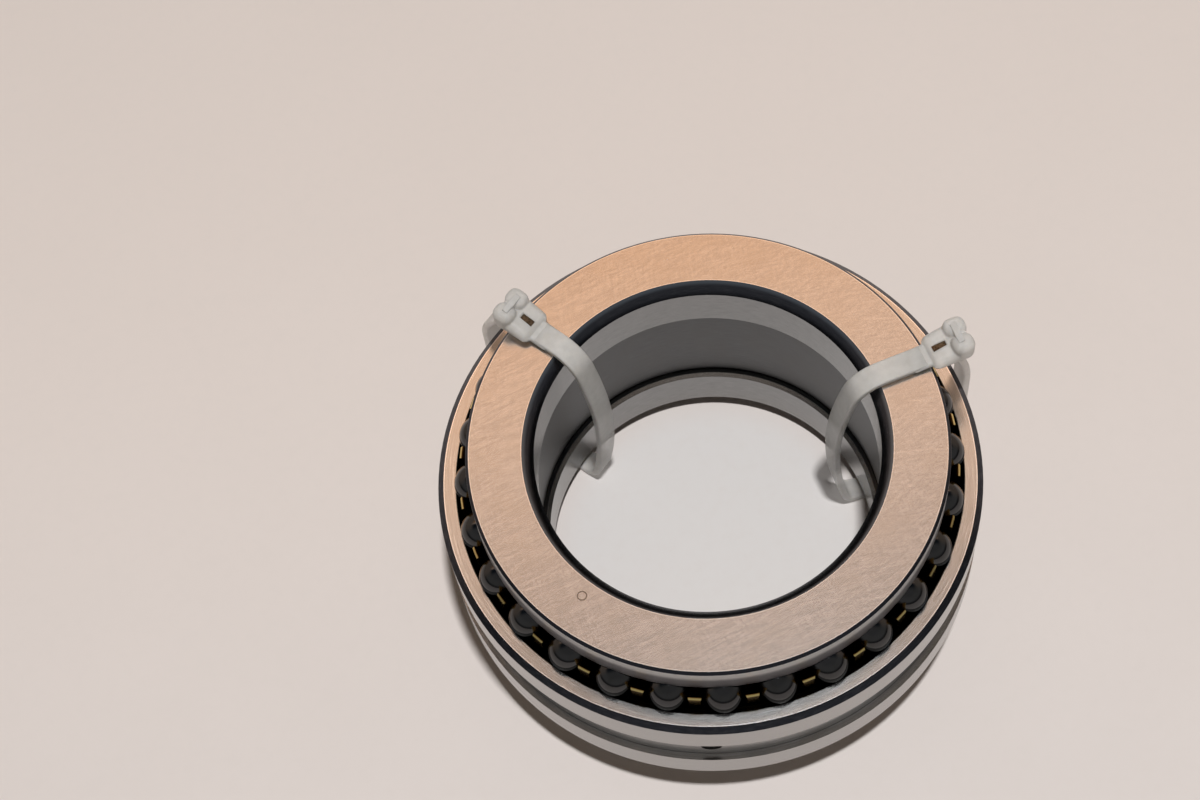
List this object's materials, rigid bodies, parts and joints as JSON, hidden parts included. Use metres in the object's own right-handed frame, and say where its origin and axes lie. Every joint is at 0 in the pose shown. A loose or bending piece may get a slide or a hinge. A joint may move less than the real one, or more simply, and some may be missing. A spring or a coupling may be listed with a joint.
{
  "type": "double-direction angular contact thrust ball bearing",
  "caption": "Double-direction angular contact thrust bearing: grooved housing ring, shaft washers over two ball rows in brass comb cages, and a spacer sleeve.",
  "frame": {"origin": "centre of the bearing: on its axis, half way up its height", "axes": "+Z along the bearing axis, out of the upper shaft washer; +X and +Y across it"},
  "size_m": [0.08, 0.08, 0.038],
  "materials": {
    "housing_steel": "ground",
    "washer_steel": "ground",
    "spacer_steel": "fine turned",
    "ball_steel": "polished",
    "cage_brass": "machined",
    "tie_nylon": "moulded, milky",
    "tie_barb": "bronzed"
  },
  "bodies": {
    "housing": {"housing_ring": "housing_steel"},
    "shaft_set": {"upper_washer": "washer_steel", "spacer_sleeve": "spacer_steel", "lower_washer": "washer_steel"},
    "upper_cage": {"upper_cage": "cage_brass"},
    "lower_cage": {"lower_cage": "cage_brass", "lower_balls": "ball_steel"},
    "upper_ball_01": {"upper_ball_01": "ball_steel"},
    "upper_ball_02": {"upper_ball_02": "ball_steel"},
    "upper_ball_03": {"upper_ball_03": "ball_steel"},
    "upper_ball_04": {"upper_ball_04": "ball_steel"},
    "upper_ball_05": {"upper_ball_05": "ball_steel"},
    "upper_ball_06": {"upper_ball_06": "ball_steel"},
    "upper_ball_07": {"upper_ball_07": "ball_steel"},
    "upper_ball_08": {"upper_ball_08": "ball_steel"},
    "upper_ball_09": {"upper_ball_09": "ball_steel"},
    "upper_ball_10": {"upper_ball_10": "ball_steel"},
    "upper_ball_11": {"upper_ball_11": "ball_steel"},
    "upper_ball_12": {"upper_ball_12": "ball_steel"},
    "upper_ball_13": {"upper_ball_13": "ball_steel"},
    "upper_ball_14": {"upper_ball_14": "ball_steel"},
    "upper_ball_15": {"upper_ball_15": "ball_steel"},
    "upper_ball_16": {"upper_ball_16": "ball_steel"},
    "upper_ball_17": {"upper_ball_17": "ball_steel"},
    "upper_ball_18": {"upper_ball_18": "ball_steel"},
    "upper_ball_19": {"upper_ball_19": "ball_steel"},
    "upper_ball_20": {"upper_ball_20": "ball_steel"},
    "upper_ball_21": {"upper_ball_21": "ball_steel"},
    "upper_ball_22": {"upper_ball_22": "ball_steel"},
    "upper_ball_23": {"upper_ball_23": "ball_steel"},
    "upper_ball_24": {"upper_ball_24": "ball_steel"},
    "upper_ball_25": {"upper_ball_25": "ball_steel"},
    "upper_ball_26": {"upper_ball_26": "ball_steel"},
    "upper_ball_27": {"upper_ball_27": "ball_steel"},
    "upper_ball_28": {"upper_ball_28": "ball_steel"}
  },
  "joints": [
    {"name": "shaft_spin", "type": "hinge", "parent": "housing", "child": "shaft_set", "pos_m": [0, 0, 0], "axis": [0, 0, 1], "continuous": true},
    {"name": "upper_cage_spin", "type": "hinge", "parent": "housing", "child": "upper_cage", "pos_m": [0, 0, 0], "axis": [0, 0, 1], "continuous": true},
    {"name": "lower_cage_spin", "type": "hinge", "parent": "housing", "child": "lower_cage", "pos_m": [0, 0, 0], "axis": [0, 0, 1], "continuous": true},
    {"name": "upper_ball_01_roll", "type": "hinge", "parent": "upper_cage", "child": "upper_ball_01", "pos_m": [0.03395, 0.00414, 0.01055], "axis": [0.8596, 0.1049, 0.5], "continuous": true},
    {"name": "upper_ball_02_roll", "type": "hinge", "parent": "upper_cage", "child": "upper_ball_02", "pos_m": [0.03217, 0.01159, 0.01055], "axis": [0.8147, 0.2936, 0.5], "continuous": true},
    {"name": "upper_ball_03_roll", "type": "hinge", "parent": "upper_cage", "child": "upper_ball_03", "pos_m": [0.02879, 0.01846, 0.01055], "axis": [0.729, 0.4675, 0.5], "continuous": true},
    {"name": "upper_ball_04_roll", "type": "hinge", "parent": "upper_cage", "child": "upper_ball_04", "pos_m": [0.02396, 0.02441, 0.01055], "axis": [0.6067, 0.618, 0.5], "continuous": true},
    {"name": "upper_ball_05_roll", "type": "hinge", "parent": "upper_cage", "child": "upper_ball_05", "pos_m": [0.01793, 0.02913, 0.01055], "axis": [0.4539, 0.7375, 0.5], "continuous": true},
    {"name": "upper_ball_06_roll", "type": "hinge", "parent": "upper_cage", "child": "upper_ball_06", "pos_m": [0.011, 0.03238, 0.01055], "axis": [0.2784, 0.82, 0.5], "continuous": true},
    {"name": "upper_ball_07_roll", "type": "hinge", "parent": "upper_cage", "child": "upper_ball_07", "pos_m": [0.00351, 0.03402, 0.01055], "axis": [0.089, 0.8614, 0.5], "continuous": true},
    {"name": "upper_ball_08_roll", "type": "hinge", "parent": "upper_cage", "child": "upper_ball_08", "pos_m": [-0.00414, 0.03395, 0.01055], "axis": [-0.1049, 0.8596, 0.5], "continuous": true},
    {"name": "upper_ball_09_roll", "type": "hinge", "parent": "upper_cage", "child": "upper_ball_09", "pos_m": [-0.01159, 0.03217, 0.01055], "axis": [-0.2936, 0.8147, 0.5], "continuous": true},
    {"name": "upper_ball_10_roll", "type": "hinge", "parent": "upper_cage", "child": "upper_ball_10", "pos_m": [-0.01846, 0.02879, 0.01055], "axis": [-0.4675, 0.729, 0.5], "continuous": true},
    {"name": "upper_ball_11_roll", "type": "hinge", "parent": "upper_cage", "child": "upper_ball_11", "pos_m": [-0.02441, 0.02396, 0.01055], "axis": [-0.618, 0.6067, 0.5], "continuous": true},
    {"name": "upper_ball_12_roll", "type": "hinge", "parent": "upper_cage", "child": "upper_ball_12", "pos_m": [-0.02913, 0.01793, 0.01055], "axis": [-0.7375, 0.4539, 0.5], "continuous": true},
    {"name": "upper_ball_13_roll", "type": "hinge", "parent": "upper_cage", "child": "upper_ball_13", "pos_m": [-0.03238, 0.011, 0.01055], "axis": [-0.82, 0.2784, 0.5], "continuous": true},
    {"name": "upper_ball_14_roll", "type": "hinge", "parent": "upper_cage", "child": "upper_ball_14", "pos_m": [-0.03402, 0.00351, 0.01055], "axis": [-0.8614, 0.089, 0.5], "continuous": true},
    {"name": "upper_ball_15_roll", "type": "hinge", "parent": "upper_cage", "child": "upper_ball_15", "pos_m": [-0.03395, -0.00414, 0.01055], "axis": [-0.8596, -0.1049, 0.5], "continuous": true},
    {"name": "upper_ball_16_roll", "type": "hinge", "parent": "upper_cage", "child": "upper_ball_16", "pos_m": [-0.03217, -0.01159, 0.01055], "axis": [-0.8147, -0.2936, 0.5], "continuous": true},
    {"name": "upper_ball_17_roll", "type": "hinge", "parent": "upper_cage", "child": "upper_ball_17", "pos_m": [-0.02879, -0.01846, 0.01055], "axis": [-0.729, -0.4675, 0.5], "continuous": true},
    {"name": "upper_ball_18_roll", "type": "hinge", "parent": "upper_cage", "child": "upper_ball_18", "pos_m": [-0.02396, -0.02441, 0.01055], "axis": [-0.6067, -0.618, 0.5], "continuous": true},
    {"name": "upper_ball_19_roll", "type": "hinge", "parent": "upper_cage", "child": "upper_ball_19", "pos_m": [-0.01793, -0.02913, 0.01055], "axis": [-0.4539, -0.7375, 0.5], "continuous": true},
    {"name": "upper_ball_20_roll", "type": "hinge", "parent": "upper_cage", "child": "upper_ball_20", "pos_m": [-0.011, -0.03238, 0.01055], "axis": [-0.2784, -0.82, 0.5], "continuous": true},
    {"name": "upper_ball_21_roll", "type": "hinge", "parent": "upper_cage", "child": "upper_ball_21", "pos_m": [-0.00351, -0.03402, 0.01055], "axis": [-0.089, -0.8614, 0.5], "continuous": true},
    {"name": "upper_ball_22_roll", "type": "hinge", "parent": "upper_cage", "child": "upper_ball_22", "pos_m": [0.00414, -0.03395, 0.01055], "axis": [0.1049, -0.8596, 0.5], "continuous": true},
    {"name": "upper_ball_23_roll", "type": "hinge", "parent": "upper_cage", "child": "upper_ball_23", "pos_m": [0.01159, -0.03217, 0.01055], "axis": [0.2936, -0.8147, 0.5], "continuous": true},
    {"name": "upper_ball_24_roll", "type": "hinge", "parent": "upper_cage", "child": "upper_ball_24", "pos_m": [0.01846, -0.02879, 0.01055], "axis": [0.4675, -0.729, 0.5], "continuous": true},
    {"name": "upper_ball_25_roll", "type": "hinge", "parent": "upper_cage", "child": "upper_ball_25", "pos_m": [0.02441, -0.02396, 0.01055], "axis": [0.618, -0.6067, 0.5], "continuous": true},
    {"name": "upper_ball_26_roll", "type": "hinge", "parent": "upper_cage", "child": "upper_ball_26", "pos_m": [0.02913, -0.01793, 0.01055], "axis": [0.7375, -0.4539, 0.5], "continuous": true},
    {"name": "upper_ball_27_roll", "type": "hinge", "parent": "upper_cage", "child": "upper_ball_27", "pos_m": [0.03238, -0.011, 0.01055], "axis": [0.82, -0.2784, 0.5], "continuous": true},
    {"name": "upper_ball_28_roll", "type": "hinge", "parent": "upper_cage", "child": "upper_ball_28", "pos_m": [0.03402, -0.00351, 0.01055], "axis": [0.8614, -0.089, 0.5], "continuous": true}
  ],
  "couplings": [
    {"joint": "upper_cage_spin", "follows": "shaft_spin", "ratio": 0.47679},
    {"joint": "lower_cage_spin", "follows": "shaft_spin", "ratio": 0.47679},
    {"joint": "upper_ball_01_roll", "follows": "shaft_spin", "ratio": -5.3742},
    {"joint": "upper_ball_02_roll", "follows": "shaft_spin", "ratio": -5.3742},
    {"joint": "upper_ball_03_roll", "follows": "shaft_spin", "ratio": -5.3742},
    {"joint": "upper_ball_04_roll", "follows": "shaft_spin", "ratio": -5.3742},
    {"joint": "upper_ball_05_roll", "follows": "shaft_spin", "ratio": -5.3742},
    {"joint": "upper_ball_06_roll", "follows": "shaft_spin", "ratio": -5.3742},
    {"joint": "upper_ball_07_roll", "follows": "shaft_spin", "ratio": -5.3742},
    {"joint": "upper_ball_08_roll", "follows": "shaft_spin", "ratio": -5.3742},
    {"joint": "upper_ball_09_roll", "follows": "shaft_spin", "ratio": -5.3742},
    {"joint": "upper_ball_10_roll", "follows": "shaft_spin", "ratio": -5.3742},
    {"joint": "upper_ball_11_roll", "follows": "shaft_spin", "ratio": -5.3742},
    {"joint": "upper_ball_12_roll", "follows": "shaft_spin", "ratio": -5.3742},
    {"joint": "upper_ball_13_roll", "follows": "shaft_spin", "ratio": -5.3742},
    {"joint": "upper_ball_14_roll", "follows": "shaft_spin", "ratio": -5.3742},
    {"joint": "upper_ball_15_roll", "follows": "shaft_spin", "ratio": -5.3742},
    {"joint": "upper_ball_16_roll", "follows": "shaft_spin", "ratio": -5.3742},
    {"joint": "upper_ball_17_roll", "follows": "shaft_spin", "ratio": -5.3742},
    {"joint": "upper_ball_18_roll", "follows": "shaft_spin", "ratio": -5.3742},
    {"joint": "upper_ball_19_roll", "follows": "shaft_spin", "ratio": -5.3742},
    {"joint": "upper_ball_20_roll", "follows": "shaft_spin", "ratio": -5.3742},
    {"joint": "upper_ball_21_roll", "follows": "shaft_spin", "ratio": -5.3742},
    {"joint": "upper_ball_22_roll", "follows": "shaft_spin", "ratio": -5.3742},
    {"joint": "upper_ball_23_roll", "follows": "shaft_spin", "ratio": -5.3742},
    {"joint": "upper_ball_24_roll", "follows": "shaft_spin", "ratio": -5.3742},
    {"joint": "upper_ball_25_roll", "follows": "shaft_spin", "ratio": -5.3742},
    {"joint": "upper_ball_26_roll", "follows": "shaft_spin", "ratio": -5.3742},
    {"joint": "upper_ball_27_roll", "follows": "shaft_spin", "ratio": -5.3742},
    {"joint": "upper_ball_28_roll", "follows": "shaft_spin", "ratio": -5.3742}
  ]
}
